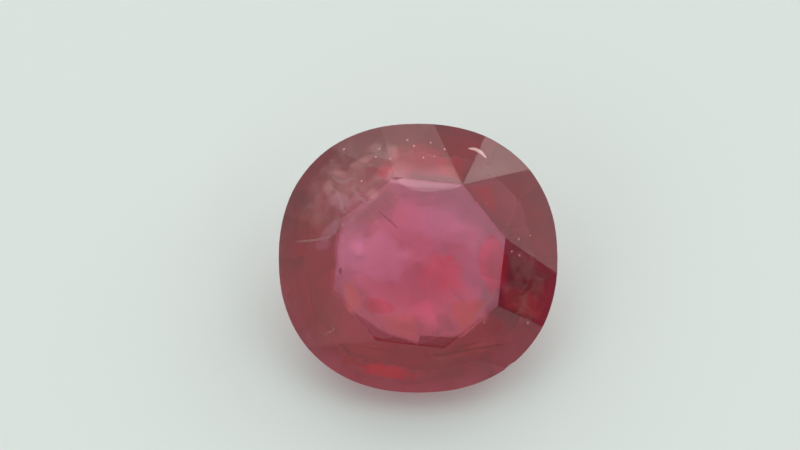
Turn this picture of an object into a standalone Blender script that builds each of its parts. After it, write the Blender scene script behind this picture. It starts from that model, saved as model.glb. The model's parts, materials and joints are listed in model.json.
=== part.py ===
"""A cut ruby of the mixed cut that hand cutters give a large, included stone.

It is one piece of crystal. Its outline is a rounded oval, a little fuller at the corners than an
ellipse. The crown has an eight-sided table, eight long star facets that run from the table's edges
to the girdle, and eight bezels, each ground in two halves. The pavilion has twelve shallow mains
that meet at a small flat culet, so the floor shows through the table, and a pair of steep facets
below the girdle at each edge between two mains. The girdle has one small chip.

The stone is ground as a cutter grinds it, from a blank, one flat cut at a time, with the table up.
It is then laid down on the main facet that points to -Y, which is how such a stone rests.
"""

import math

import bmesh
import bpy
from mathutils import Euler, Vector

MM = 0.001

# The outline, seen face up.
LENGTH = 14.0 * MM
WIDTH = 13.5 * MM
OUTLINE_POWER = 2.24
GIRDLE_FACES = 96

# Heights along the axis, counted from the middle of the girdle.
GIRDLE_THICKNESS = 0.36 * MM
CROWN_HEIGHT = 1.9 * MM
CULET_DEPTH = 5.3 * MM
CULET_FLAT = 0.06 * MM

# The crown. The table sits a little off the middle, as hand cutting leaves it.
CROWN_COUNT = 8
CROWN_TURN = math.radians(16)
TABLE_RADIUS = 4.4 * MM
TABLE_SHIFT = Vector((0.05 * MM, -0.27 * MM, 0))

# The pavilion. The lower facets of a pair are turned this far to each side of the mains' edge.
MAIN_COUNT = 12
MAIN_SLOPE = math.radians(28)
LOWER_SLOPE = math.radians(48)
LOWER_SPREAD = math.radians(4.5)
REST_DIRECTION = math.radians(-90)

# The chip in the girdle.
CHIP_DIRECTION = math.radians(-50)
CHIP_RADIUS = 0.7 * MM
CHIP_DEPTH = 0.09 * MM

# A corner this close to a cut counts as lying on it, so facets that meet at a point share it.
MEETING = 0.002 * MM

BLANK_SIZE = 2 * LENGTH
TABLE_HEIGHT = GIRDLE_THICKNESS / 2 + CROWN_HEIGHT
INSIDE = Vector((0, 0, -CROWN_HEIGHT / 2))


def outline_distance(direction):
    """How far the outline's tangent that faces this direction lies from the axis."""
    dual = OUTLINE_POWER / (OUTLINE_POWER - 1)
    along = abs(LENGTH / 2 * math.cos(direction)) ** dual
    across = abs(WIDTH / 2 * math.sin(direction)) ** dual
    return (along + across) ** (1 / dual)


def outline_radius(direction):
    """How far the outline itself lies from the axis in this direction."""
    along = abs(math.cos(direction) / (LENGTH / 2)) ** OUTLINE_POWER
    across = abs(math.sin(direction) / (WIDTH / 2)) ** OUTLINE_POWER
    return (along + across) ** (-1 / OUTLINE_POWER)


def at(direction, radius, height):
    """The point in this direction round the axis, this far out and this high."""
    return Vector((radius * math.cos(direction), radius * math.sin(direction), height))


def turns(count, start=0.0):
    """Directions evenly spaced round the axis."""
    return [start + step * math.tau / count for step in range(count)]


def grind(stone, point, normal):
    """Grinds the stone flat, down to the plane through point that faces along normal."""
    everything = stone.verts[:] + stone.edges[:] + stone.faces[:]
    ground = bmesh.ops.bisect_plane(
        stone, geom=everything, dist=MEETING, plane_co=point, plane_no=normal, clear_outer=True
    )
    rim = [part for part in ground["geom_cut"] if isinstance(part, bmesh.types.BMEdge)]
    open_rim = [edge for edge in rim if edge.is_boundary]
    if open_rim:
        bmesh.ops.contextual_create(stone, geom=open_rim)


def grind_through(stone, first, second, third):
    """Grinds the facet that passes through three meeting points."""
    normal = (second - first).cross(third - first).normalized()
    if normal.dot(first - INSIDE) < 0:
        normal.negate()
    grind(stone, first, normal)


def grind_below(stone, point, direction, slope):
    """Grinds a pavilion facet through point that faces this direction, sloped from the level."""
    level = at(direction, math.sin(slope), 0)
    grind(stone, point, level - Vector((0, 0, math.cos(slope))))


def grind_girdle(stone):
    for direction in turns(GIRDLE_FACES, math.pi / GIRDLE_FACES):
        wall = at(direction, outline_distance(direction), 0)
        grind(stone, wall, wall.normalized())


def grind_crown(stone):
    """The table, the star facets on its edges, and the halved bezels on its corners."""
    grind(stone, Vector((0, 0, TABLE_HEIGHT)), Vector((0, 0, 1)))
    half_step = math.pi / CROWN_COUNT
    for direction in turns(CROWN_COUNT, CROWN_TURN):
        corner = TABLE_SHIFT + at(direction, TABLE_RADIUS, TABLE_HEIGHT)
        next_corner = TABLE_SHIFT + at(direction + 2 * half_step, TABLE_RADIUS, TABLE_HEIGHT)
        before, middle, after = (
            at(angle, outline_radius(angle), GIRDLE_THICKNESS / 2)
            for angle in (direction - half_step, direction, direction + half_step)
        )
        grind_through(stone, corner, before, middle)
        grind_through(stone, corner, middle, after)
        grind_through(stone, corner, next_corner, after)


def grind_pavilion(stone):
    """Pairs of steep facets below the girdle, mains that meet under the middle, and the culet."""
    for mains_edge in turns(MAIN_COUNT, REST_DIRECTION + math.pi / MAIN_COUNT):
        for direction in (mains_edge - LOWER_SPREAD, mains_edge + LOWER_SPREAD):
            rim = at(direction, outline_distance(direction), -GIRDLE_THICKNESS / 2)
            grind_below(stone, rim, direction, LOWER_SLOPE)
    for direction in turns(MAIN_COUNT, REST_DIRECTION):
        grind_below(stone, Vector((0, 0, -CULET_DEPTH)), direction, MAIN_SLOPE)
    grind(stone, Vector((0, 0, CULET_FLAT - CULET_DEPTH)), Vector((0, 0, -1)))


def ruby_material():
    material = bpy.data.materials.new("ruby")
    material.use_nodes = True
    shader = material.node_tree.nodes["Principled BSDF"]
    shader.inputs["Base Color"].default_value = (0.6, 0.06, 0.12, 1)
    shader.inputs["Roughness"].default_value = 0.05
    shader.inputs["Metallic"].default_value = 0
    shader.inputs["IOR"].default_value = 1.77
    shader.inputs["Transmission Weight"].default_value = 1
    return material


def cut_stone():
    """The faceted stone as an object, with the table up and its origin on the axis."""
    stone = bmesh.new()
    bmesh.ops.create_cube(stone, size=BLANK_SIZE)
    grind_girdle(stone)
    grind_crown(stone)
    grind_pavilion(stone)
    mesh = bpy.data.meshes.new("ruby")
    stone.to_mesh(mesh)
    stone.free()
    mesh.materials.append(ruby_material())
    return bpy.data.objects.new("ruby", mesh)


def chip_cutter(ruby):
    """A small ball at the girdle's upper edge, whose hollow is the chip."""
    ball = bmesh.new()
    bmesh.ops.create_icosphere(ball, subdivisions=3, radius=CHIP_RADIUS)
    mesh = bpy.data.meshes.new("chip_cutter")
    ball.to_mesh(mesh)
    ball.free()
    cutter = bpy.data.objects.new("chip_cutter", mesh)
    out = outline_radius(CHIP_DIRECTION) + CHIP_RADIUS - CHIP_DEPTH
    cutter.location = at(CHIP_DIRECTION, out, GIRDLE_THICKNESS / 2)
    cutter.parent = ruby
    cutter.hide_render = True
    cutter.display_type = "WIRE"
    return cutter


def chip_girdle(ruby, cutter):
    chip = ruby.modifiers.new("chip", "BOOLEAN")
    chip.operation = "DIFFERENCE"
    chip.solver = "EXACT"
    chip.object = cutter


def lay_down(ruby):
    """Turns the stone onto its main facet at -Y, and sets it on the level in the middle."""
    turn = Euler((MAIN_SLOPE, 0, 0))
    laid = [turn.to_matrix() @ vertex.co for vertex in ruby.data.vertices]
    lowest = Vector([min(point[axis] for point in laid) for axis in range(3)])
    highest = Vector([max(point[axis] for point in laid) for axis in range(3)])
    middle = (lowest + highest) / 2
    ruby.rotation_euler = turn
    ruby.location = (-middle.x, -middle.y, -lowest.z)


def new_collection(name):
    collection = bpy.data.collections.new(name)
    bpy.context.scene.collection.children.link(collection)
    return collection


def main():
    for leftover in list(bpy.data.objects):
        bpy.data.objects.remove(leftover)
    ruby = cut_stone()
    new_collection("cut ruby").objects.link(ruby)
    lay_down(ruby)
    cutter = chip_cutter(ruby)
    new_collection("cutters").objects.link(cutter)
    chip_girdle(ruby, cutter)


main()
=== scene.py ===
"""A cut ruby that lies tipped on its pavilion on a pale table, under soft light.

The stone's own frame has its origin on the stone's axis at the height of the table facet. X runs
along the stone's length, Y across it and away from the viewer, and Z out of the table facet.
Sizes are in metres. Places and sizes inside the stone are written in millimetres of its own frame.
"""

import json
import math

import bmesh
import bpy
import numpy as np
from mathutils import Matrix, Vector


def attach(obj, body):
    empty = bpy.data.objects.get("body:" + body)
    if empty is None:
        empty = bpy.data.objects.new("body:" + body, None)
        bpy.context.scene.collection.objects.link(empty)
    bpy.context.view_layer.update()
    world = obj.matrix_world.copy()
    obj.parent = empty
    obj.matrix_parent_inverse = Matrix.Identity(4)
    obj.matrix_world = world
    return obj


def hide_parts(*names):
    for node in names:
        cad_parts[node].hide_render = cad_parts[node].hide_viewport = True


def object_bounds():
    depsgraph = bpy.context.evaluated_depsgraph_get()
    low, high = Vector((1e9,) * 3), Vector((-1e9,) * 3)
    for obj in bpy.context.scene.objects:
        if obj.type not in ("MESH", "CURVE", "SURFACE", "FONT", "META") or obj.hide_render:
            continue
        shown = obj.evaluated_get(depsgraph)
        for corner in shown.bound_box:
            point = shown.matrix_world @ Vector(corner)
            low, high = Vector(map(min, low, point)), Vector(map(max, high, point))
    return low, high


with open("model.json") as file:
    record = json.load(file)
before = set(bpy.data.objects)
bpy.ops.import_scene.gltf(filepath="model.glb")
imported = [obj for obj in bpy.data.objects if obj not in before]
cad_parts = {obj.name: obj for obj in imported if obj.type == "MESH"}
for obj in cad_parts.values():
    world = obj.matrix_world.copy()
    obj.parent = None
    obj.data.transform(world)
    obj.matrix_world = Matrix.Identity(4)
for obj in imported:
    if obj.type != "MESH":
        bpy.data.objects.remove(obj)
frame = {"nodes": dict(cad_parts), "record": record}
cad_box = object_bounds()

MM = 0.001
STONE_NODE = "ruby"

# Ruby's optics: what one metre of the crystal takes off red, green and blue.
REFRACTIVE_INDEX = 1.77
ABSORPTION = (82.0, 300.0, 222.0)

# How much of what it would mirror the hand polish keeps, and how rough it leaves each part of the
# surface. A noise with this many cells to a metre makes it rougher yet, as it rises in this range.
GLOSS = (0.76, 0.70, 0.68)
CROWN_ROUGHNESS = 0.02
PAVILION_ROUGHNESS = 0.29
GIRDLE_ROUGHNESS = 0.55
POLISH_CELLS = 900.0
POLISH_RANGE = (0.3, 0.8)
POOREST_POLISH = 0.05

# Hand polishing leaves the facets this wavy, and their edges this wide.
WAVE_LENGTH = 3.5 * MM
WAVE_DEPTH = 0.11 * MM
EDGE_WIDTH = 0.03 * MM
EDGE_STEPS = 2

# Facets that turn by more than this meet in an edge that is softened.
FACET_ANGLE = math.radians(3)

# Corners this close count as one, and so do faces that turn by no more than this.
SAME_POINT = 0.001 * MM
SAME_FACET = math.radians(0.1)

# A facet whose normal has less than this along the stone's axis belongs to the girdle.
GIRDLE_TILT = 0.1

# The sockets of a Mix node that mixes colours.
MIX_FACTOR, MIX_FROM, MIX_TO, MIX_RESULT = 0, 6, 7, 2

# Less than this counts as nothing.
TINY = 1e-9

# A film that takes nothing away, one that adds no glow, and one that reaches all the way up.
CLEAR = (1, 1, 1)
DARK = (0, 0, 0)
ALL_THE_WAY = 2.0

# The shader values of plain matt, for what is sealed in the crystal.
MATT = {"Roughness": 1.0, "Specular_IOR_Level": 0.0}

# The crown under which the films lie: how far out it starts to fall, and how steeply.
CROWN_SHOULDER = 4.15 * MM
CROWN_SLOPE = math.radians(34)

# A film or leaf: how thick it is in its middle, how many rows of corners it has, how large the rags
# of its rim are, and the share of the leaf's height over which it fades out upwards.
LEAF_THICKNESS = 0.012 * MM
LEAF_ROWS = 49
FILM_RAGS = 0.7 * MM
VEIL_RAGS = 0.8 * MM
VEIL_FADE = 0.5
TOP_FADE = 0.4

# The rags follow a noise in this range, and reach in and out by this share of the rim's fade.
RAG_RANGE = (0.3, 0.7)
RAG_REACH = 0.3

# A healed crack's cloud thickens as one noise rises in this range. Its threads are where another
# noise is this close to its middle, and break up where the first one falls out of this range. The
# second noise has this share of the first one's cells.
CLOUD_RANGE = (0.42, 0.72)
NOISE_MIDDLE = 0.5
RIDGE_WIDTH = 0.02
THREAD_RANGE = (0.45, 0.6)
THREAD_CELLS = 0.8

# The ripples of a healed crack along X and Y: radians to a metre, and where they start.
RIPPLES = (1500, 1300)
RIPPLE_STARTS = (0.7, 2.1)

# A wisp is this deep under the crown, in millimetres, and a thread is this much wider than thick.
WISP_DEPTH = 0.35
WISP_ROWS = 25
THREAD_FLATNESS = 3
THREAD_STEPS = 41
THREAD_SIDES = 6

# The smallest and largest crystal of a group, as shares of the size that is asked for.
SPECK_SIZES = (0.5, 1.2)

# Tiny pale crystals in the upper crown, in millimetres of the stone's own frame.
PALE_SPECKS = [
    (-0.54, 5.86), (-0.21, 5.55), (-1.92, 5.39), (0.25, 4.95), (0.81, 5.02), (1.31, 5.39),
    (0.62, 5.73), (-4.3, 4.85), (-3.7, 5.4), (-2.8, 3.76), (-2.4, 2.7), (-2.1, 4.97), (-1.4, 4.86),
]

# Small glints at the right of the crown, likewise: painted highlights, drawn as glowing specks.
GLINTS = [(4.55, 0.3), (4.95, 0.1), (4.9, 0.9), (5.5, 1.1), (3.2, -3.15), (5.4, -3.2), (3.35, 2.65)]

# Wisps of the healed crack, whose brightness is a painted glow: middle, radii, turn, glow, in
# millimetres and degrees.
WISPS = {
    "arc_wisp": ((-2.75, 4.75), (0.75, 0.24), 25, (0.050, 0.034, 0.030)),
    "top_wisp": ((-2.1, 5.45), (0.50, 0.30), 10, (0.045, 0.028, 0.026)),
    "spot_wisp": ((-1.35, 5.2), (0.45, 0.55), 30, (0.055, 0.034, 0.032)),
    "left_wisp": ((-4.0, 4.15), (0.65, 0.22), -10, (0.045, 0.030, 0.026)),
    "side_wisp": ((-4.4, 3.45), (0.35, 0.45), 0, (0.050, 0.034, 0.032)),
    "lilac_wisp": ((-3.9, 2.75), (0.75, 0.55), 130, (0.040, 0.032, 0.040)),
    "low_wisp": ((-2.25, 3.05), (0.35, 0.30), 0, (0.050, 0.036, 0.030)),
    "long_feather": ((-4.3, 1.35), (0.90, 0.28), 40, (0.030, 0.024, 0.036)),
    "short_feather": ((-4.7, 0.65), (0.55, 0.35), 20, (0.018, 0.012, 0.022)),
    "edge_wisp": ((-2.75, 2.75), (1.7, 0.50), 38, (0.040, 0.014, 0.024)),
    "corner_wisp": ((-1.3, 3.85), (0.9, 0.45), 10, (0.035, 0.014, 0.020)),
    "red_wisp": ((-1.6, 4.15), (0.60, 0.50), 0, (0.050, 0.002, 0.004)),
}

# Fine threads of drops in the healed crack, through these points in millimetres.
VEIL_THREADS = {
    "arc_thread": [(-3.2, 4.15), (-3.1, 4.36), (-2.67, 4.5), (-2.15, 4.53)],
    "left_thread": [(-4.3, 4.05), (-3.95, 3.78), (-3.6, 3.72), (-3.2, 3.95)],
    "loop_thread": [(-3.1, 3.75), (-3.22, 3.42), (-2.95, 2.92), (-2.54, 2.68), (-2.08, 2.87)],
    "side_thread": [(-4.4, 3.5), (-4.05, 3.27), (-3.8, 2.75), (-3.73, 2.3), (-3.4, 2.05)],
    "upper_thread": [(-2.4, 5.0), (-2.0, 5.1), (-1.6, 4.85), (-1.3, 4.9)],
    "feather_thread": [(-4.7, 0.8), (-4.3, 1.05), (-3.95, 1.45), (-3.6, 1.6)],
}

# The view.
IMAGE_WIDTH, IMAGE_HEIGHT = 800, 450
STONE_PIXELS = 277.2
STONE_PIXEL_PLACE = (418.0, 261.6)
VIEW_ELEVATION = math.radians(60)
LENS = 85.0
SENSOR = 36.0
NEAREST_SEEN = 1 * MM

# How often light may turn inside the crystal, and pass through what is see-through.
CRYSTAL_BOUNCES = 24
CLEAR_BOUNCES = 32

# The room. A patch is its elevation, its bearing clockwise from straight behind the stone, its
# radius, the width of its soft edge, all in degrees, and its light, in place of what lies under it.
ROOM_LIGHT = (1.08, 1.14, 1.11)
ROOM_PATCHES = {
    "left wall": (22, -95, 44, 16, (0.86, 0.90, 0.87)),
    "wall behind the viewer": (30, 180, 48, 30, (1.08, 1.13, 1.10)),
    "low front": (8, 180, 38, 16, (0.60, 0.62, 0.61)),
    "shade of the viewer": (60, 180, 27, 12, (0.34, 0.37, 0.36)),
    "wall by the upper window": (44, -24, 16, 16, (1.40, 1.44, 1.40)),
    "upper window": (49, -1.4, 11.5, 6, (1.9, 1.75, 1.7)),
    "wall between the windows": (40, 24, 9, 5, (0.9, 0.93, 0.9)),
    "window": (36, 46, 8, 5, (2.5, 2.55, 2.5)),
    "dark side": (4, 130, 31, 6, (0.13, 0.13, 0.13)),
}
FLOOR_COLOUR = (0.775, 0.815, 0.80)
FLOOR_ROUGHNESS = 0.7
FLOOR_GLOSS = 0.2
FLOOR_SIZE = 1.2
FLOOR_DROP = 0.02 * MM


def record_mount(name):
    return next(mount for mount in frame["record"]["mounts"] if mount["name"] == name)


def node_points(name):
    """The node's corners as one array."""
    mesh = frame["nodes"][name].data
    points = np.empty(len(mesh.vertices) * 3)
    mesh.vertices.foreach_get("co", points)
    return points.reshape(-1, 3)


def stone_frame():
    """The matrix from the stone's own frame to the row's, worked out from the table facet."""
    table = record_mount("table")
    out = Vector(table["axis"]).normalized()
    along = Vector((1, 0, 0))
    across = out.cross(along)
    turn = Matrix((along, across, out)).transposed()
    points = node_points(STONE_NODE) @ np.array(turn)
    middle = (points.min(0) + points.max(0)) / 2
    height = Vector(table["pos_m"]).dot(out)
    return Matrix.LocRotScale(turn @ Vector((middle[0], middle[1], height)), turn, None)


STONE = stone_frame()


def feed(tree, socket, value):
    """Gives a socket its value: another node's output, a colour, or a plain number."""
    if isinstance(value, bpy.types.NodeSocket):
        tree.links.new(value, socket)
    elif isinstance(value, tuple):
        socket.default_value = (*value, 1)
    else:
        socket.default_value = value


def new_material(name, **values):
    """A material, its tree and its shader, with these values on the shader's own sockets."""
    material = bpy.data.materials.new(name)
    material.use_nodes = True
    tree = material.node_tree
    shader = tree.nodes["Principled BSDF"]
    for socket, value in values.items():
        feed(tree, shader.inputs[socket.replace("_", " ")], value)
    return material, tree, shader


def node(tree, kind, **settings):
    """A shader node of this kind. A setting that names an input gives its value."""
    made = tree.nodes.new(kind)
    for name, value in settings.items():
        socket = made.inputs.get(name.replace("_", " "))
        if socket is not None and not hasattr(made, name):
            socket.default_value = value
        else:
            setattr(made, name, value)
    return made


def carried(tree, name):
    """The value of this name that the piece's corners or faces carry."""
    return node(tree, "ShaderNodeAttribute", attribute_name=name).outputs["Fac"]


def noise(tree, cells, **settings):
    """Soft noise that keeps its place on the piece, with this many cells to a metre."""
    place = node(tree, "ShaderNodeTexCoord")
    made = node(tree, "ShaderNodeTexNoise", Scale=cells, **settings)
    tree.links.new(place.outputs["Object"], made.inputs["Vector"])
    return made.outputs["Fac"]


def mixed(tree, factor, first, second):
    """A colour that goes from first to second as factor goes from 0 to 1."""
    mix = node(tree, "ShaderNodeMix", data_type="RGBA")
    for socket, value in ((MIX_FACTOR, factor), (MIX_FROM, first), (MIX_TO, second)):
        feed(tree, mix.inputs[socket], value)
    return mix.outputs[MIX_RESULT]


def ramp(tree, value, low, high, bottom=0.0, top=1.0, kind="SMOOTHSTEP"):
    """Goes from bottom to top as value goes from low to high, and stays there beyond them."""
    ends = {"From_Min": low, "From_Max": high, "To_Min": bottom, "To_Max": top}
    stretched = node(tree, "ShaderNodeMapRange", interpolation_type=kind, **ends)
    tree.links.new(value, stretched.inputs["Value"])
    return stretched.outputs["Result"]


def worked_out(tree, operation, *values, **settings):
    """What a Math node makes of these values, which are outputs or plain numbers."""
    made = node(tree, "ShaderNodeMath", operation=operation, **settings)
    for socket, value in zip(made.inputs, values):
        feed(tree, socket, value)
    return made.outputs["Value"]


def ragged_rim(tree, rag_size, fade):
    """Goes from 0 at a leaf's rim to 1 where the way in from it is fade, with a ragged edge."""
    rags = noise(tree, 1 / rag_size, Detail=4.0, Roughness=0.6)
    torn = ramp(tree, rags, *RAG_RANGE, -RAG_REACH * fade, RAG_REACH * fade)
    return ramp(tree, worked_out(tree, "ADD", carried(tree, "inward"), torn), 0.0, fade)


def painted_glow_film(name, fade, top, tint, glow):
    """A clear film of this tint that adds a faint glow: painted light, in place of the light that
    ruby's silk and its red glow in daylight would give.

    It fades out at its ragged rim, and upwards to this share of its height if that is less than 1.
    """
    material, tree, shader = new_material(
        name, Transmission_Weight=1, IOR=1.0, Roughness=0.0, Emission_Strength=1.0
    )
    below_top = ramp(tree, carried(tree, "rise"), top, top - TOP_FADE)
    here = worked_out(tree, "MULTIPLY", ragged_rim(tree, FILM_RAGS, fade), below_top)
    feed(tree, shader.inputs["Base Color"], mixed(tree, here, CLEAR, tint))
    feed(tree, shader.inputs["Emission Color"], mixed(tree, here, DARK, glow))
    material.cycles.emission_sampling = "NONE"
    return material


def healed_crack(name, colour, cell, cloud_cover, thread_cover):
    """A crack that grew shut: a thin cloud of fine fluid drops, drawn out into wisps and threads.

    cell is the size of its clouds, and the covers say how much clouds and threads hide at most.
    """
    material, tree, shader = new_material(name, **MATT, Base_Color=colour)
    milk = noise(tree, 1 / cell, Detail=3.5, Roughness=0.5, Distortion=0.7)
    flow = noise(tree, THREAD_CELLS / cell, Detail=3.0, Distortion=1.6)
    cloud = ramp(tree, milk, *CLOUD_RANGE, 0.0, cloud_cover)
    off_ridge = worked_out(tree, "ABSOLUTE", worked_out(tree, "SUBTRACT", flow, NOISE_MIDDLE))
    ridges = ramp(tree, off_ridge, RIDGE_WIDTH, 0.0, 0.0, thread_cover)
    broken = worked_out(tree, "MULTIPLY", ridges, ramp(tree, milk, *THREAD_RANGE))
    both = worked_out(tree, "ADD", cloud, broken, use_clamp=True)
    torn = worked_out(tree, "MULTIPLY", both, ragged_rim(tree, VEIL_RAGS, VEIL_FADE))
    feed(tree, shader.inputs["Alpha"], torn)
    return material


def solid_fill(name, colour, alpha, glow=DARK):
    """The matt filling of a speck or a thread, with a painted glow in place of the light that it
    catches from the crystal.
    """
    material, _, _ = new_material(
        name, **MATT, Base_Color=colour, Alpha=alpha, Emission_Color=glow, Emission_Strength=1.0
    )
    material.cycles.emission_sampling = "NONE"
    return material


def ruby_crystal():
    """Clear red crystal that deepens with the way through it, as rough as each facet's finish."""
    material, tree, shader = new_material(
        "ruby crystal", Transmission_Weight=1, IOR=REFRACTIVE_INDEX, Base_Color=CLEAR,
        Specular_Tint=GLOSS
    )
    polish = noise(tree, POLISH_CELLS, Detail=3.0)
    uneven = ramp(tree, polish, *POLISH_RANGE, 0.0, POOREST_POLISH, kind="LINEAR")
    rough = worked_out(tree, "ADD", carried(tree, "finish"), uneven)
    feed(tree, shader.inputs["Roughness"], rough)
    bump = node(tree, "ShaderNodeBump", Strength=1.0, Distance=WAVE_DEPTH)
    feed(tree, bump.inputs["Height"], noise(tree, 1 / WAVE_LENGTH, Detail=0.0))
    feed(tree, shader.inputs["Normal"], bump.outputs["Normal"])
    strongest = max(ABSORPTION)
    depth = node(tree, "ShaderNodeVolumeAbsorption", Density=strongest)
    feed(tree, depth.inputs["Color"], tuple(1 - taken / strongest for taken in ABSORPTION))
    feed(tree, tree.nodes["Material Output"].inputs["Volume"], depth.outputs["Volume"])
    return material


def pale_floor():
    material, _, _ = new_material(
        "pale table top", Base_Color=FLOOR_COLOUR, Roughness=FLOOR_ROUGHNESS,
        Specular_IOR_Level=FLOOR_GLOSS
    )
    return material


def finish_of(height):
    """The roughness of a facet whose outward normal has this part along the stone's axis."""
    if abs(height) < GIRDLE_TILT:
        return GIRDLE_ROUGHNESS
    return CROWN_ROUGHNESS if height > 0 else PAVILION_ROUGHNESS


def in_scene(name, data):
    """A new object of this name in the scene, at the origin."""
    made = bpy.data.objects.new(name, data)
    bpy.context.scene.collection.objects.link(made)
    return made


def polished_stone():
    """The faceted solid with its triangles merged back into facets, and its edges softened."""
    source = frame["nodes"][STONE_NODE]
    shape = bmesh.new()
    shape.from_mesh(source.data)
    bmesh.ops.remove_doubles(shape, verts=shape.verts, dist=SAME_POINT)
    bmesh.ops.dissolve_limit(
        shape, angle_limit=SAME_FACET, verts=shape.verts, edges=shape.edges, delimit=set()
    )
    mesh = bpy.data.meshes.new("polished_ruby")
    shape.to_mesh(mesh)
    shape.free()
    out = STONE.to_3x3() @ Vector((0, 0, 1))
    finish = mesh.attributes.new("finish", "FLOAT", "FACE")
    for face in mesh.polygons:
        finish.data[face.index].value = finish_of(face.normal.dot(out))
    mesh.materials.append(ruby_crystal())
    stone = in_scene("polished_ruby", mesh)
    edges = stone.modifiers.new("softened edges", "BEVEL")
    edges.width = EDGE_WIDTH
    edges.segments = EDGE_STEPS
    edges.limit_method = "ANGLE"
    edges.angle_limit = FACET_ANGLE
    edges.use_clamp_overlap = True
    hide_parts(STONE_NODE)
    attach(stone, "root")
    return stone


def in_row(points):
    """Points of the stone's own frame, in the row's frame."""
    turn = np.array(STONE.to_3x3())
    return points @ turn.T + np.array(STONE.translation)


def sealed_piece(name, points, faces, material, **attributes):
    """A piece in the crystal, from corners in the stone's own frame, with values at the corners."""
    mesh = bpy.data.meshes.new(name)
    mesh.from_pydata(in_row(points).tolist(), [], faces)
    for attribute, values in attributes.items():
        mesh.attributes.new(attribute, "FLOAT", "POINT").data.foreach_set("value", values)
    mesh.shade_smooth()
    mesh.materials.append(material)
    piece = in_scene(name, mesh)
    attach(piece, "root")
    return piece


def quads(corners):
    """The faces between the rows and columns of a grid of corner numbers."""
    strips = [corners[:-1, :-1], corners[:-1, 1:], corners[1:, 1:], corners[1:, :-1]]
    return np.stack(strips, axis=-1).reshape(-1, 4)


def both_skins(values):
    """What a grid of values gives the corners of a leaf's upper skin, and then of its lower one."""
    return np.concatenate([values.reshape(-1), values[1:-1, 1:-1].reshape(-1)])


def leaf(name, surface, material, rows=LEAF_ROWS):
    """A thin closed leaf whose two skins meet at its rim.

    A square grid from -1 to 1 is drawn in to a disc. surface gives the middle of the leaf there,
    and each skin stands off it by half the thickness, times how far the point is in from the rim.
    """
    across, up = np.meshgrid(np.linspace(-1, 1, rows), np.linspace(-1, 1, rows))
    disc_x = across * np.sqrt(1 - up**2 / 2)
    disc_y = up * np.sqrt(1 - across**2 / 2)
    inward = 1 - disc_x**2 - disc_y**2
    inward[abs(inward) < TINY] = 0
    rise = (1 + disc_y) / 2
    middle = surface(disc_x, disc_y)
    stand_off = np.zeros_like(middle)
    stand_off[..., 2] = LEAF_THICKNESS / 2 * inward
    top = (middle + stand_off).reshape(-1, 3)
    bottom = (middle - stand_off)[1:-1, 1:-1].reshape(-1, 3)
    top_corners = np.arange(rows * rows).reshape(rows, rows)
    inner_corners = np.arange((rows - 2) ** 2).reshape(rows - 2, rows - 2)
    bottom_corners = top_corners.copy()
    bottom_corners[1:-1, 1:-1] = rows * rows + inner_corners
    faces = np.concatenate([quads(top_corners), quads(bottom_corners)[:, ::-1]])
    return sealed_piece(
        name, np.concatenate([top, bottom]), faces.tolist(), material,
        inward=both_skins(inward), rise=both_skins(rise)
    )


def below_crown(x, y, depth):
    """The height this far below the crown, which falls in proportion outside the table's radius."""
    outside = np.hypot(x, y) - CROWN_SHOULDER
    return -depth - np.maximum(outside, 0) * math.tan(CROWN_SLOPE)


def under_crown(middle, radii, turn, depth, ripple=0):
    """An oval leaf's surface that keeps this depth below the crown. The turn is in radians.

    Outside the table's radius the height falls as the crown does, in proportion to the distance,
    and a product of two sines of the place ripples it.
    """
    middle, radii = np.array(middle) * MM, np.array(radii) * MM

    def surface(disc_x, disc_y):
        along = disc_x * radii[0]
        up = disc_y * radii[1]
        x = middle[0] + along * math.cos(turn) - up * math.sin(turn)
        y = middle[1] + along * math.sin(turn) + up * math.cos(turn)
        waves = (np.sin(RIPPLES[0] * x + RIPPLE_STARTS[0])
                 * np.sin(RIPPLES[1] * y + RIPPLE_STARTS[1]))
        height = below_crown(x, y, depth * MM) + ripple * MM * waves
        return np.stack([x, y, height], axis=-1)
    return surface


def outlined(corners, depth):
    """A leaf's surface at this depth below the crown, inside a star-shaped outline.

    A ray from the outline's middle meets the edge between its two neighbouring corners where the
    cross products with that edge agree, and each point of the disc moves out in proportion to it.
    """
    corners = np.array(corners) * MM
    middle = corners.mean(0)
    arms = corners - middle
    arms = arms[np.argsort(np.arctan2(arms[:, 1], arms[:, 0]))]
    angles = np.arctan2(arms[:, 1], arms[:, 0])

    def surface(disc_x, disc_y):
        angle = np.arctan2(disc_y, disc_x)
        before = np.searchsorted(angles, angle, side="right") - 1
        start = arms[before]
        edge = arms[(before + 1) % len(arms)] - start
        across = start[..., 0] * edge[..., 1] - start[..., 1] * edge[..., 0]
        out = across / (np.cos(angle) * edge[..., 1] - np.sin(angle) * edge[..., 0])
        x = middle[0] + disc_x * out
        y = middle[1] + disc_y * out
        return np.stack([x, y, below_crown(x, y, depth * MM)], axis=-1)
    return surface


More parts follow.
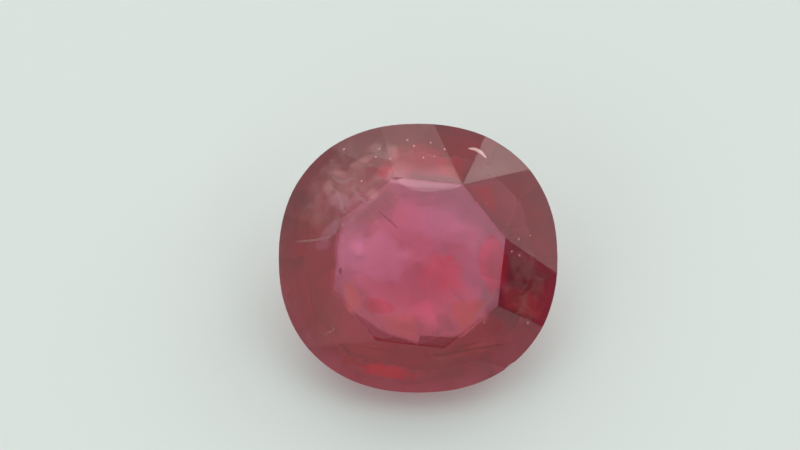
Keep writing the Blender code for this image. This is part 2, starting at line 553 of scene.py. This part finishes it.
def thread(name, points, width, depth, material):
    """A thin closed thread below the crown, through points of the stone's own frame.

    The path runs through the points in order, in proportion to their distances, and is smoothed by
    a running mean. The section is an ellipse a third as thick as wide, which the square root of the
    distance from both ends narrows to a point.
    """
    points = np.array(points) * MM
    width, depth = width * MM, depth * MM
    lengths = np.hypot(*np.diff(points, axis=0).T)
    at_points = np.concatenate([[0], np.cumsum(lengths)]) / lengths.sum()
    along = np.linspace(0, 1, THREAD_STEPS)
    path = np.stack([np.interp(along, at_points, points[:, axis]) for axis in (0, 1)], axis=-1)
    path[1:-1] = (path[:-2] + path[1:-1] + path[2:]) / 3
    ahead = np.gradient(path, axis=0)
    ahead /= np.hypot(*ahead.T)[:, None]
    aside = np.stack([-ahead[:, 1], ahead[:, 0]], axis=-1)
    around = np.arange(THREAD_SIDES) * math.tau / THREAD_SIDES
    half = width / 2 * np.sqrt(4 * along * (1 - along))[1:-1, None]
    flat = path[1:-1, None, :] + aside[1:-1, None, :] * (half * np.cos(around))[..., None]
    middle = below_crown(path[1:-1, 0], path[1:-1, 1], depth)[:, None]
    height = middle + half / THREAD_FLATNESS * np.sin(around)
    rings = np.concatenate([flat, height[..., None]], axis=-1)
    ends = np.array([[*end, below_crown(*end, depth)] for end in (path[0], path[-1])])
    corners = np.arange(rings.shape[0] * THREAD_SIDES).reshape(-1, THREAD_SIDES)
    looped = np.concatenate([corners, corners[:, :1]], axis=1)
    first, last = corners.size, corners.size + 1
    start, end = looped[0].tolist(), looped[-1].tolist()
    start_cap = [[first, one, two] for one, two in zip(start[1:], start[:-1])]
    end_cap = [[last, two, one] for one, two in zip(end[1:], end[:-1])]
    faces = quads(looped).tolist() + start_cap + end_cap
    return sealed_piece(name, np.concatenate([rings.reshape(-1, 3), ends]), faces, material)


def specks(name, places, size, depth, material):
    """Tiny eight-faced crystals below the crown, one at each place.

    Each one's corners lie on its own three axes, and its size differs by a seeded random draw.
    """
    places = np.array(places) * MM
    chance = np.random.default_rng(len(places))
    sizes = size * MM * chance.uniform(*SPECK_SIZES, len(places))
    axes = np.concatenate([np.eye(3), -np.eye(3)])
    middles = np.column_stack([places, below_crown(places[:, 0], places[:, 1], depth * MM)])
    corners = middles[:, None, :] + axes * sizes[:, None, None]
    upper = np.array([[0, 1, 2], [1, 3, 2], [3, 4, 2], [4, 0, 2]])
    lower = np.array([[1, 0, 5], [3, 1, 5], [4, 3, 5], [0, 4, 5]])
    crystal = np.concatenate([upper, lower])
    faces = (np.arange(len(places))[:, None, None] * len(axes) + crystal).reshape(-1, 3)
    return sealed_piece(name, corners.reshape(-1, 3), faces.tolist(), material)


def zone(name, outline, depth=0.4, fade=0.5, top=ALL_THE_WAY, tint=CLEAR, glow=DARK):
    """A film this deep below the crown, inside an outline of straight edges, with a tint and a
    painted glow.
    """
    film = painted_glow_film(name.replace("_", " "), fade, top, tint, glow)
    leaf(name, outlined(outline, depth), film).data.shade_flat()


def painted_crystal_glow():
    """Painted glow over the crystal and its see-through middle, whose lower edge is torn, with grey
    films as painted shade at the left and below.
    """
    zone("painted_body_glow", [(-6.4, 0.5), (-5.6, 3.2), (-3.0, 5.3), (-0.5, 5.2), (0.5, 2.0), (3.5, -2.5),
                       (5.2, -3.8), (3.0, -5.4), (0, -6.1), (-3.0, -5.6), (-5.4, -3.6)],
         depth=0.7, fade=0.4, glow=(0.026, 0, 0.001))
    # Grey films that darken the ring at the left and below, as painted shade, with a faint painted
    # glow.
    zone("left_painted_shade_and_glow", [(-6.7, 0.6), (-6.2, 2.9), (-4.6, 2.6), (-4.0, 1.2), (-4.1, -1.6),
                        (-3.5, -2.9), (-4.9, -4.4), (-6.2, -2.8), (-6.8, -1.0)],
         depth=0.5, fade=0.4, tint=(0.72, 0.72, 0.72), glow=(0.026, 0, 0))
    zone("low_painted_shade_and_glow", [(-4.6, -4.4), (-3.4, -4.0), (-1.9, -4.3), (1.3, -4.6), (3.4, -4.0),
                       (4.8, -4.0), (2.6, -5.9), (0, -6.4), (-2.6, -5.9)],
         depth=0.5, fade=0.4, tint=(0.8, 0.8, 0.8), glow=(0.009, 0, 0))
    # A faint grey-green glow over the table, as a painted reflection.
    zone("painted_table_reflection", [(4.25, 0.90), (2.14, 3.52), (-1.14, 3.90), (-3.74, 1.82), (-4.14, -1.48),
                        (-2.05, -4.06), (1.24, -4.44), (3.84, -2.37)],
         depth=0.3, fade=0.05, glow=(0.002, 0.010, 0.010))
    # Painted glow that brightens the see-through middle.
    zone("painted_rose_glow", [(-3.6, 1.5), (-1.2, 3.2), (1.8, 3.2), (4.0, 1.1), (4.0, -1.6), (1.3, -4.0),
                       (-1.9, -3.4), (-3.7, -1.3)],
         depth=2.0, fade=0.6, glow=(0.084, 0.019, 0.036))
    zone("painted_low_rose_glow", [(-3.98, -1.3), (-3.73, -2.0), (-3.34, -2.7), (-2.85, -3.0), (-2.1, -3.5),
                        (-1.4, -3.9), (-0.3, -4.15), (-0.05, -4.3), (0.1, -3.9), (1.33, -3.97),
                        (2.16, -3.9), (2.8, -3.3), (3.4, -2.9), (3.5, -2.4), (3.9, -1.9), (3.6, 0),
                        (1.1, 1.4), (-1.4, 1.2), (-3.6, -0.3)],
         depth=0.5, fade=0.12, top=0.75, glow=(0.066, 0.022, 0.028))
    zone("painted_middle_rose_glow", [(-1.6, 0.6), (0.6, 0.9), (1.4, -0.4), (0.8, -2.0), (-0.8, -2.2),
                         (-1.8, -1.0)],
         depth=1.4, fade=1.0, glow=(0.024, 0.010, 0.014))


def window_patches():
    """The colours of the see-through middle: lilac at the left and above, red, then warm below. The
    tints give colour, and the glows are painted light.
    """
    # Lilac painted glow, with no tint.
    zone("lilac_left", [(-3.6, 0.8), (-1.9, 1.55), (-0.15, 0.3), (-0.9, -1.4), (-3.35, -1.15)],
         depth=1.0, fade=0.8, glow=(0.020, 0.018, 0.030))
    zone("lilac_upper", [(-0.9, 2.5), (1.8, 2.8), (3.5, 1.55), (3.05, 0.3), (0.6, 0.8),
                         (-1.1, 1.3)],
         depth=1.2, fade=0.8, glow=(0.016, 0.014, 0.024))
    zone("rose_haze", [(0.9, 1.5), (2.9, 1.4), (2.8, -0.3), (0.9, -0.4)],
         depth=0.8, fade=1.0, tint=(0.95, 0.84, 0.84))
    zone("red_heart", [(0.0, 0.1), (0.7, 0.7), (1.8, 0.5), (2.5, -0.5), (2.4, -1.7), (1.3, -2.4),
                       (0.2, -2.1), (-0.2, -1.0)],
         depth=0.7, fade=1.0, tint=(1, 0.72, 0.74), glow=(0.030, 0, 0.002))
    zone("salmon_low", [(-1.9, -2.8), (-0.1, -2.7), (0.15, -3.8), (-0.3, -4.1), (-1.65, -3.7)],
         fade=0.6, tint=(1, 0.96, 0.9), glow=(0.024, 0.004, 0.002))
    zone("orange_left", [(-3.85, -1.25), (-3.2, -1.1), (-2.7, -2.1), (-2.8, -2.75), (-3.35, -2.65),
                         (-3.72, -2.0)],
         fade=0.7, tint=(1, 0.92, 0.82), glow=(0.036, 0.007, 0.002))
    zone("red_left", [(-2.6, -1.9), (-1.95, -1.95), (-1.0, -2.5), (-1.1, -2.8), (-2.5, -2.85),
                      (-2.75, -2.3)],
         tint=(1, 0.7, 0.76), glow=(0.016, 0, 0))
    zone("pink_flash", [(-0.45, -2.1), (0.6, -1.9), (1.3, -2.4), (1.0, -3.2), (-0.1, -3.3),
                        (-0.6, -2.8)],
         fade=1.0, tint=(1, 0.9, 0.96), glow=(0.050, 0.004, 0.014))
    zone("rose_wedge", [(0.85, -2.7), (1.4, -2.65), (1.98, -3.75), (0.85, -3.9)],
         fade=0.6, tint=(0.92, 0.9, 0.93))
    zone("orange_tip", [(1.45, -2.1), (2.55, -1.95), (3.4, -2.1), (2.95, -3.0), (2.16, -3.9),
                        (1.8, -3.35)],
         fade=0.7, tint=(1, 0.84, 0.7), glow=(0.020, 0.002, 0))
    zone("crescent", [(3.0, 0.6), (3.6, 1.3), (4.15, 0.9), (4.35, -0.4), (4.0, -1.65), (3.55, -1.9),
                      (3.05, -0.9), (2.85, -0.2)],
         depth=0.35, fade=0.3, tint=(0.97, 0.70, 0.76), glow=(0.038, 0, 0.001))
    zone("painted_lilac_glow_rim", [(-4.1, 1.3), (-3.2, 2.2), (-2.4, 1.8), (-2.7, 0.2), (-3.1, -1.1),
                       (-4.2, -1.1)],
         depth=0.35, fade=0.8, glow=(0.050, 0.016, 0.033))
    zone("veil_over_table", [(-4.0, 2.0), (-1.3, 4.1), (-0.5, 3.2), (-1.7, 1.9), (-2.8, 0.8),
                             (-4.2, 0.2)],
         depth=0.3, fade=1.0, tint=(0.86, 0.92, 0.80))
    zone("dark_notch", [(-4.0, -0.65), (-3.80, -0.42), (-3.76, -0.7), (-3.78, -1.0)],
         depth=0.2, fade=0.9, tint=(0.6, 0.5, 0.6))


def crown_patches():
    """The patches of the crown, painted light and shade: pale and red glow above the table, a
    painted red flash, painted shade on the dark side and glowing fills below.
    """
    # Pale painted glow by the table's upper edge.
    zone("painted_pale_glow_edge", [(-1.12, 3.88), (-0.5, 3.84), (0.5, 3.72), (1.5, 3.61), (2.10, 3.53),
                       (1.9, 3.40), (1.4, 3.33), (0.7, 3.22), (0.1, 3.22), (-0.5, 3.40),
                       (-0.9, 3.65)],
         depth=0.06, fade=0.03, glow=(0.044, 0.034, 0.036))
    zone("painted_pale_glow_above", [(-1.8, 3.75), (-1.0, 3.55), (0.2, 3.40), (1.3, 3.40), (2.2, 3.50),
                        (1.8, 4.5), (0.6, 4.9), (-1.2, 4.8)],
         depth=0.4, fade=0.25, top=0.85, glow=(0.056, 0.040, 0.043))
    zone("top_blush", [(-2.2, 3.7), (-1.0, 4.0), (1.9, 3.7), (1.6, 5.4), (0.2, 6.0), (-1.8, 5.4)],
         depth=0.5, fade=0.8, tint=(0.97, 0.9, 0.92), glow=(0.060, 0.003, 0.008))
    zone("red_by_table", [(0.6, 4.7), (1.5, 5.1), (2.1, 5.0), (2.5, 4.1), (2.1, 3.55), (1.3, 3.8)],
         depth=0.45, fade=0.9, tint=(1, 0.6, 0.62), glow=(0.030, 0, 0.001))
    zone("red_corner", [(2.15, 3.55), (3.6, 3.75), (4.0, 3.0), (3.9, 2.0), (2.8, 2.6)],
         depth=0.35, fade=0.9, tint=(1, 0.66, 0.7), glow=(0.030, 0, 0.002))
    zone("painted_pale_glow_right", [(2.5, 3.75), (4.2, 3.95), (5.3, 4.1), (4.7, 4.9), (3.4, 4.9), (2.6, 4.4)],
         depth=0.4, fade=0.9, glow=(0.006, 0.013, 0.009))
    # Painted shade: a tinted film that darkens the lower left of the crown.
    zone("low_left_shade", [(-6.4, -2.0), (-4.4, -2.4), (-3.4, -3.9), (-2.8, -5.4), (-4.6, -5.0),
                            (-6.0, -3.4)],
         depth=0.45, fade=0.8, tint=(0.92, 0.84, 0.80))
    zone("wedge_glow", [(0.9, 6.2), (1.5, 4.6), (2.15, 3.6), (2.8, 4.8), (3.3, 5.7), (2.2, 6.2)],
         depth=0.5, fade=0.5, glow=(0.014, 0.001, 0.001))
    # A faint red painted glow, with a slight darkening tint.
    zone("right_painted_glow", [(2.4, 3.6), (4.3, 1.2), (5.6, 0.2), (6.7, 0.0), (6.6, 1.8), (5.4, 3.6),
                         (4.3, 3.8)],
         depth=0.5, fade=0.6, tint=(0.95, 0.92, 0.92), glow=(0.012, 0, 0))
    # A painted red flash: a deep red film with a glow.
    zone("red_flash", [(-3.1, -5.2), (-2.1, -5.0), (-0.9, -5.25), (0.0, -5.75), (-0.3, -6.2),
                       (-1.9, -5.9), (-3.0, -5.7)],
         depth=0.3, fade=0.7, tint=(1, 0.1, 0.2), glow=(0.057, 0, 0.006))
    zone("small_red_flash", [(-3.75, -4.75), (-3.05, -4.9), (-3.2, -5.4), (-3.85, -5.2)],
         depth=0.3, fade=0.9, tint=(1, 0.3, 0.4), glow=(0.014, 0, 0.002))
    # Painted shade: a grey film that darkens the dark side, with a faint glow.
    zone("right_shade", [(4.3, 0.6), (5.4, 0.0), (6.6, -0.9), (6.4, -2.2), (5.6, -3.6), (4.4, -3.0),
                         (4.25, -1.2)],
         depth=0.4, fade=0.7, tint=(0.66, 0.66, 0.62), glow=(0.008, 0.002, 0.001))
    zone("right_glow", [(4.0, -2.4), (5.0, -2.9), (6.0, -3.35), (6.75, -2.0), (6.85, -0.9),
                        (6.1, -1.0), (5.3, -1.8)],
         depth=0.3, fade=0.6, glow=(0.012, 0.001, 0.001))
    zone("right_low_glow", [(4.0, -1.3), (5.2, -1.5), (6.2, -2.0), (6.1, -3.1), (5.0, -2.85),
                            (3.95, -2.4)],
         depth=0.33, fade=0.6, glow=(0.032, 0.004, 0.004))
    zone("low_left_fill", [(-3.6, -4.0), (-1.4, -4.35), (-1.5, -4.85), (-3.4, -4.7)],
         depth=0.4, fade=0.7, glow=(0.016, 0.002, 0.002))
    zone("low_right_fill", [(0.9, -4.55), (3.5, -4.0), (3.4, -4.6), (1.0, -5.0)],
         depth=0.4, fade=0.7, glow=(0.016, 0.002, 0.002))


def wisp(name, middle, radii, turn, glow):
    """A small feathered cloud below the crown, turned by this many degrees, whose brightness is a
    painted glow.
    """
    film = painted_glow_film(
        name.replace("_", " "), fade=1.0, top=ALL_THE_WAY, tint=CLEAR, glow=glow
    )
    surface = under_crown(middle, radii, math.radians(turn), WISP_DEPTH)
    leaf(name, surface, film, rows=WISP_ROWS).data.shade_flat()


def fingerprint_veil():
    """The healed crack below the crown's upper left: a warm haze of painted shade and glow, wisps
    of painted glow, threads and two leaves.
    """
    zone("painted_veil_shade_and_glow", [(-6.4, 1.8), (-5.7, 3.6), (-4.2, 5.2), (-2.2, 6.1), (0.4, 6.2), (0.2, 4.6),
                       (-1.3, 3.7), (-3.5, 1.5), (-4.6, 1.0)],
         depth=0.45, fade=0.5, tint=(0.78, 0.78, 0.78), glow=(0.030, 0.010, 0.009))
    for name, placing in WISPS.items():
        wisp(name, *placing)
    drops = solid_fill("thread of drops", (1.0, 0.86, 0.83), alpha=0.11)
    for name, points in VEIL_THREADS.items():
        thread(name, points, width=0.22, depth=0.3, material=drops)
    near = healed_crack(
        "healed crack", (1.0, 0.80, 0.78), cell=1.1 * MM, cloud_cover=0.11, thread_cover=0.03
    )
    far = healed_crack(
        "deep healed crack", (1.0, 0.78, 0.76), cell=1.7 * MM, cloud_cover=0.20, thread_cover=0.02
    )
    upper = under_crown((-3.3, 3.7), (2.9, 1.6), turn=0.85, depth=0.30, ripple=0.05)
    lower = under_crown((-3.7, 3.3), (3.2, 1.6), turn=0.95, depth=0.8, ripple=0.1)
    leaf("upper_veil", upper, near)
    leaf("lower_veil", lower, far)
    # Pale specks of the healed crack, brightened by a painted glow.
    pale = solid_fill("pale crystal", (1.0, 0.80, 0.79), alpha=0.8, glow=(0.22, 0.12, 0.12))
    specks("pale_crystals", PALE_SPECKS, size=0.058, depth=0.26, material=pale)


def cracks():
    """A bright open crack, whose brightness is partly a painted glow, a dark one in the table, and
    two faint lines in the ring.
    """
    # The bright crack's glow is painted light.
    bright = solid_fill("bright crack", (1.0, 0.85, 0.82), alpha=0.95, glow=(0.25, 0.15, 0.14))
    dark = solid_fill("dark crack", (0.25, 0.06, 0.12), alpha=0.20)
    faint = solid_fill("faint line", (1.0, 0.85, 0.86), alpha=0.15)
    thread("bright_crack", [(2.5, 5.45), (2.85, 5.4), (3.15, 5.22), (3.4, 4.95)],
           width=0.20, depth=0.13, material=bright)
    thread("dark_crack", [(-2.0, 2.3), (-1.6, 1.95), (-1.35, 1.75), (-1.0, 1.4)],
           width=0.10, depth=0.10, material=dark)
    thread("left_line", [(-6.2, 0.8), (-5.5, 0.82), (-4.9, 0.9), (-4.3, 1.06)],
           width=0.12, depth=0.12, material=faint)
    thread("low_zigzag", [(-4.4, -3.35), (-4.1, -3.55), (-4.65, -3.8), (-4.3, -4.0)],
           width=0.06, depth=0.12, material=faint)


def right_haze():
    """Faint mauve clouds in the dark side of the crown, and the glints in them, painted as glowing
    specks.
    """
    haze = healed_crack(
        "mauve haze", (1.0, 0.66, 0.64), cell=1.0 * MM, cloud_cover=0.11, thread_cover=0.05
    )
    leaf("right_haze", under_crown((5.1, -1.3), (1.2, 2.2), turn=0.2, depth=0.3), haze)
    pale = solid_fill("glint", (1.0, 0.72, 0.66), alpha=0.6, glow=(0.16, 0.04, 0.04))
    specks("glints", GLINTS, size=0.07, depth=0.20, material=pale)


def table_top():
    half = FLOOR_SIZE / 2
    level = [(-half, -half), (half, -half), (half, half), (-half, half)]
    mesh = bpy.data.meshes.new("table_top")
    mesh.from_pydata([(x, y, -FLOOR_DROP) for x, y in level], [], [(0, 1, 2, 3)])
    mesh.materials.append(pale_floor())
    floor = in_scene("table_top", mesh)


def direction(elevation, bearing):
    """The unit vector at this elevation and clockwise bearing from +Y, in degrees."""
    level = math.cos(math.radians(elevation))
    turned = math.radians(bearing)
    return (level * math.sin(turned), level * math.cos(turned), math.sin(math.radians(elevation)))


def room_patch(tree, sky, room, elevation, bearing, radius, edge, light):
    """The room with this round patch of light in it, soft-edged by the angle from its middle."""
    facing = node(tree, "ShaderNodeVectorMath", operation="DOT_PRODUCT")
    facing.inputs[1].default_value = direction(elevation, bearing)
    tree.links.new(sky.outputs["Generated"], facing.inputs[0])
    outer = math.cos(math.radians(radius + edge / 2))
    inner = math.cos(math.radians(radius - edge / 2))
    inside = ramp(tree, facing.outputs["Value"], outer, inner)
    return mixed(tree, inside, room, light)


def soft_room():
    """Even light from all round, with the patches of ROOM_PATCHES in it."""
    world = bpy.data.worlds.new("soft room")
    world.use_nodes = True
    tree = world.node_tree
    sky = node(tree, "ShaderNodeTexCoord")
    room = ROOM_LIGHT
    for patch in ROOM_PATCHES.values():
        room = room_patch(tree, sky, room, *patch)
    tree.links.new(room, tree.nodes["Background"].inputs["Color"])
    bpy.context.scene.world = world
    bpy.context.scene.view_settings.view_transform = "Standard"


def deep_light():
    """Lets light find its way out of the crystal after many turns inside it."""
    cycles = bpy.context.scene.cycles
    cycles.max_bounces = CRYSTAL_BOUNCES
    cycles.transmission_bounces = CRYSTAL_BOUNCES
    cycles.transparent_max_bounces = CLEAR_BOUNCES


def camera():
    """Looks down on the stone, with the stone where the photograph has it in the frame."""
    lowest, highest = (Vector(corner) for corner in cad_box)
    middle = (lowest + highest) / 2
    back = Vector((0, -math.cos(VIEW_ELEVATION), math.sin(VIEW_ELEVATION)))
    right = Vector((1, 0, 0))
    up = back.cross(right)
    length = highest.x - lowest.x
    pixel = length / STONE_PIXELS
    distance = pixel * IMAGE_WIDTH * LENS / SENSOR
    aside = (STONE_PIXEL_PLACE[0] - IMAGE_WIDTH / 2) * pixel
    below = (STONE_PIXEL_PLACE[1] - IMAGE_HEIGHT / 2) * pixel
    data = bpy.data.cameras.new("camera")
    data.lens = LENS
    data.sensor_width = SENSOR
    data.clip_start = NEAREST_SEEN
    viewer = in_scene("camera", data)
    viewer.location = middle + back * distance - right * aside + up * below
    viewer.rotation_euler = Matrix((right, up, back)).transposed().to_euler()
    bpy.context.scene.camera = viewer


camera()
table_top()
soft_room()
deep_light()
polished_stone()
painted_crystal_glow()
window_patches()
crown_patches()
fingerprint_veil()
cracks()
right_haze()
